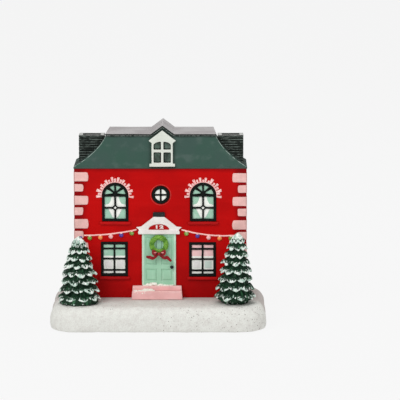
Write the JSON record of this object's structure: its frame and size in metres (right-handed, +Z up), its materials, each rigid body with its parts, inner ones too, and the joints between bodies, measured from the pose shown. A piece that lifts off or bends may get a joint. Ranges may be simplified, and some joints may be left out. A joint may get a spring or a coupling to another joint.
{
  "type": "christmas house incense burner",
  "caption": "Town house with mansard roof, open chimneys, wreathed door and snowy base with fir trees; the hollow house lifts off a metal dish that burns an incense cone.",
  "frame": {"origin": "middle of the base on the surface that it stands on", "axes": "+X to the right of someone who faces the door, +Y from the front to the back, +Z up"},
  "size_m": [0.108, 0.068, 0.0999],
  "materials": {
    "snow": "hand-painted snow white, slightly granular",
    "felt": "thin dark green felt",
    "dish_metal": "satin pressed metal",
    "tree": "dark green with pale snow on the tips",
    "wall_red": "satin red paint",
    "roof_green": "grey-green satin paint",
    "deck_grey": "light grey matte paint",
    "chimney_brick": "near-black brick with light dry brushing",
    "trim_white": "white satin paint",
    "frame_black": "black satin paint",
    "dark_pane": "dark green paint",
    "mint_pane": "mint and cream paint",
    "white_pane": "white paint",
    "brick_pink": "salmon pink satin paint",
    "step_pink": "salmon pink satin paint",
    "sill_red": "satin red paint",
    "bulbs": "gloss paint, green, purple, pink and orange",
    "door_mint": "satin mint paint",
    "knob_metal": "black",
    "wreath_green": "leaf green paint",
    "bow_red": "crimson paint",
    "number_red": "satin red paint"
  },
  "bodies": {
    "base": {"snow_base": "snow", "felt_sheet": "felt", "tree_left": "tree", "tree_right": "tree"},
    "dish": {"incense_dish": "dish_metal"},
    "house": {"house_walls": "wall_red", "mansard_roof": "roof_green", "deck_capping": "deck_grey", "dormer_frame": "trim_white", "dormer_panes": "dark_pane", "chimney_left": "chimney_brick", "arched_window_frame_left": "frame_black", "arched_window_panes_left": "mint_pane", "brick_arch_left": "brick_pink", "arched_window_sill_left": "sill_red", "lower_window_frame_left": "frame_black", "lower_window_panes_left": "mint_pane", "lower_window_sill_left": "sill_red", "light_string_left": "bulbs", "chimney_right": "chimney_brick", "arched_window_frame_right": "frame_black", "arched_window_panes_right": "mint_pane", "brick_arch_right": "brick_pink", "arched_window_sill_right": "sill_red", "lower_window_frame_right": "frame_black", "lower_window_panes_right": "mint_pane", "lower_window_sill_right": "sill_red", "light_string_right": "bulbs", "round_window_frame": "frame_black", "round_window_panes": "white_pane", "front_steps": "step_pink", "front_door": "door_mint", "door_knob": "knob_metal", "door_wreath": "wreath_green", "wreath_bow": "bow_red", "entry_pediment": "trim_white", "number_panel": "number_red", "pediment_cresting": "frame_black", "quoin_left_1": "brick_pink", "quoin_left_2": "brick_pink", "quoin_left_3": "brick_pink", "quoin_left_4": "brick_pink", "quoin_left_5": "brick_pink", "quoin_left_6": "brick_pink", "quoin_left_7": "brick_pink", "quoin_left_8": "brick_pink", "quoin_left_9": "brick_pink", "quoin_left_10": "brick_pink", "quoin_left_11": "brick_pink", "quoin_right_1": "brick_pink", "quoin_right_2": "brick_pink", "quoin_right_3": "brick_pink", "quoin_right_4": "brick_pink", "quoin_right_5": "brick_pink", "quoin_right_6": "brick_pink", "quoin_right_7": "brick_pink", "quoin_right_8": "brick_pink", "quoin_right_9": "brick_pink", "quoin_right_10": "brick_pink", "quoin_right_11": "brick_pink"}
  },
  "joints": [
    {"name": "house_lift", "type": "slide", "parent": "base", "child": "house", "axis": [0, 0, 1], "range_m": [0, 0.06]},
    {"name": "dish_lift", "type": "slide", "parent": "base", "child": "dish", "axis": [0, 0, 1], "range_m": [0, 0.03]}
  ]
}
